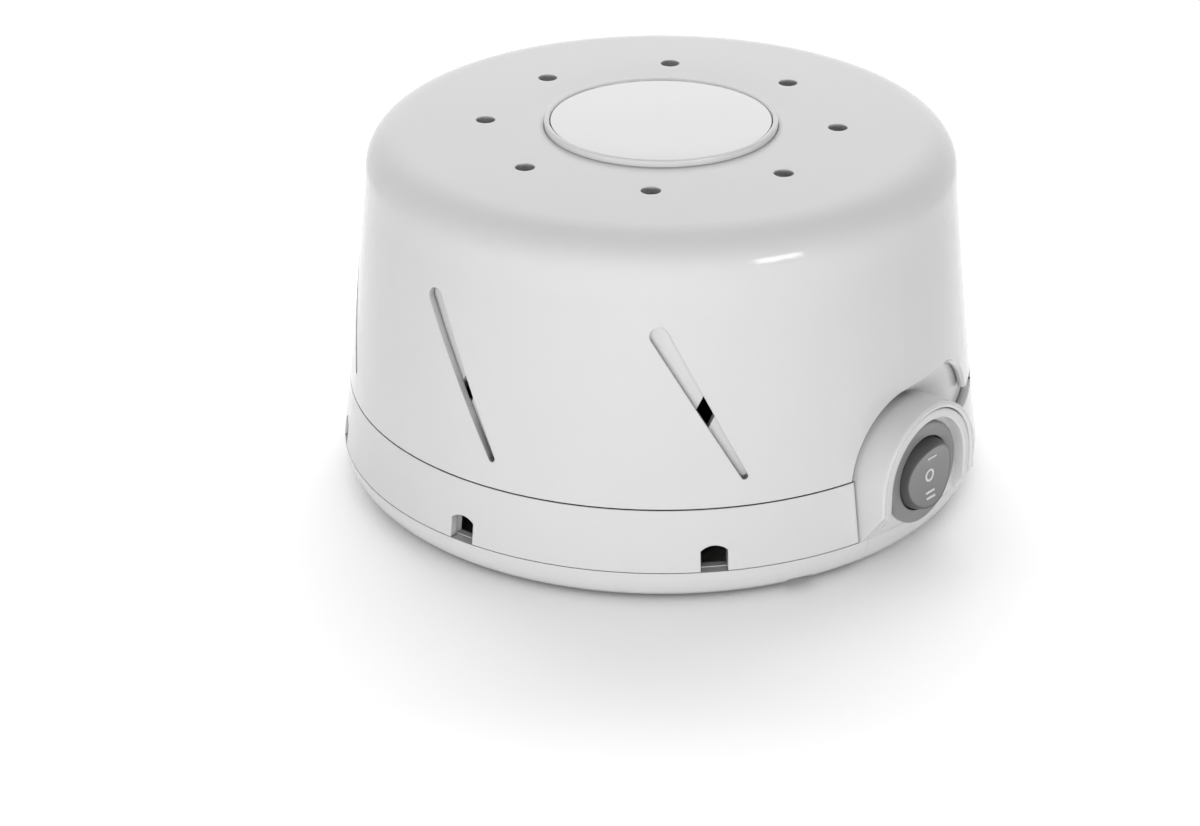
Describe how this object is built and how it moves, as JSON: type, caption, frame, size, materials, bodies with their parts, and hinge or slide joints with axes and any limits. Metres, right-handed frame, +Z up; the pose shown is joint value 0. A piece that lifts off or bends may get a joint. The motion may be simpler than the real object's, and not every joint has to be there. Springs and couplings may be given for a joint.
{
  "type": "white noise sound machine",
  "caption": "Round white noise machine: a slotted cap and collar turn over a drum with a fan inside, a three-position rocker sits in an arched hood.",
  "frame": {"origin": "on the vertical turning axis, at the surface that the feet stand on", "axes": "+Z up along the turning axis, -Y towards the rocker switch, +X to the right of someone who faces the switch"},
  "size_m": [0.1462, 0.1511, 0.0833],
  "materials": {
    "cap_plastic": "glossy white moulding",
    "collar_plastic": "glossy white moulding",
    "base_plastic": "glossy white moulding",
    "drum_plastic": "glossy white moulding",
    "plate_plastic": "glossy white moulding",
    "badge_ring_plastic": "glossy",
    "badge_face_plastic": "smooth, faintly domed",
    "switch_plastic": "fine satin",
    "rocker_plastic": "fine satin",
    "mark_ink": "printed",
    "foot_rubber": "matte",
    "isolator_rubber": "matte",
    "gland_rubber": "matte",
    "zinc_steel": "zinc plated",
    "plate_steel": "zinc plated sheet",
    "lamination_steel": "stacked sheet edges",
    "rotor_steel": "stacked sheet edges",
    "cast_alloy": "cast",
    "copper_ring": "bare copper",
    "coil_wire": "enamelled wire, taped",
    "bearing_bronze": "sintered bronze",
    "terminal_brass": "plain",
    "shaft_steel": "ground",
    "bobbin_nylon": "natural nylon",
    "fan_plastic": "moulded",
    "washer_nylon": "natural nylon",
    "cutout_case": "moulded",
    "lead_black": "wire insulation",
    "lead_red": "wire insulation",
    "lead_white": "wire insulation",
    "splice_nylon": "crimped cap"
  },
  "bodies": {
    "housing": {"base_tray": "base_plastic", "inner_drum": "drum_plastic", "switch_plate": "plate_plastic", "switch_bezel": "switch_plastic", "switch_terminals": "terminal_brass", "spade_sockets": "terminal_brass", "cord_grommet": "gland_rubber", "foot_pads": "foot_rubber", "base_screws": "zinc_steel", "cap_pivot_screw": "zinc_steel", "pivot_washer": "washer_nylon", "motor_plate": "plate_steel", "motor_grommets": "isolator_rubber", "grommet_washers": "zinc_steel", "plate_screws": "zinc_steel", "motor_spacers": "cast_alloy", "motor_screws": "zinc_steel", "motor_nuts": "zinc_steel", "lower_bracket": "plate_steel", "upper_bracket": "plate_steel", "shaft_bushes": "bearing_bronze", "stator_stack": "lamination_steel", "shading_rings": "copper_ring", "coil_bobbin": "bobbin_nylon", "coil_winding": "coil_wire", "thermal_cutout": "cutout_case", "lead_low": "lead_red", "lead_high": "lead_black", "lead_common": "lead_white", "splice_cap": "splice_nylon"},
    "cap": {"cap_shell": "cap_plastic", "badge_bezel": "badge_ring_plastic", "badge_label": "badge_face_plastic"},
    "collar": {"tone_collar": "collar_plastic"},
    "fan_rotor": {"motor_shaft": "shaft_steel", "rotor_core": "rotor_steel", "rotor_end_rings": "cast_alloy", "thrust_washers": "washer_nylon", "fan_wheel": "fan_plastic", "fan_clip": "zinc_steel"},
    "rocker": {"rocker": "rocker_plastic", "rocker_marks": "mark_ink"}
  },
  "joints": [
    {"name": "cap_turn", "type": "hinge", "parent": "housing", "child": "cap", "pos_m": [0, 0, 0.078], "axis": [0, 0, 1], "range_deg": [-12.4, 0]},
    {"name": "collar_turn", "type": "hinge", "parent": "housing", "child": "collar", "pos_m": [0, 0, 0.015], "axis": [0, 0, 1], "range_deg": [-8, 0]},
    {"name": "fan_spin", "type": "hinge", "parent": "housing", "child": "fan_rotor", "pos_m": [0, 0, 0.03], "axis": [0, 0, 1], "continuous": true},
    {"name": "rocker_tilt", "type": "hinge", "parent": "housing", "child": "rocker", "pos_m": [0, -0.0742, 0.0202], "axis": [1, 0, 0], "range_deg": [-10, 10]}
  ]
}
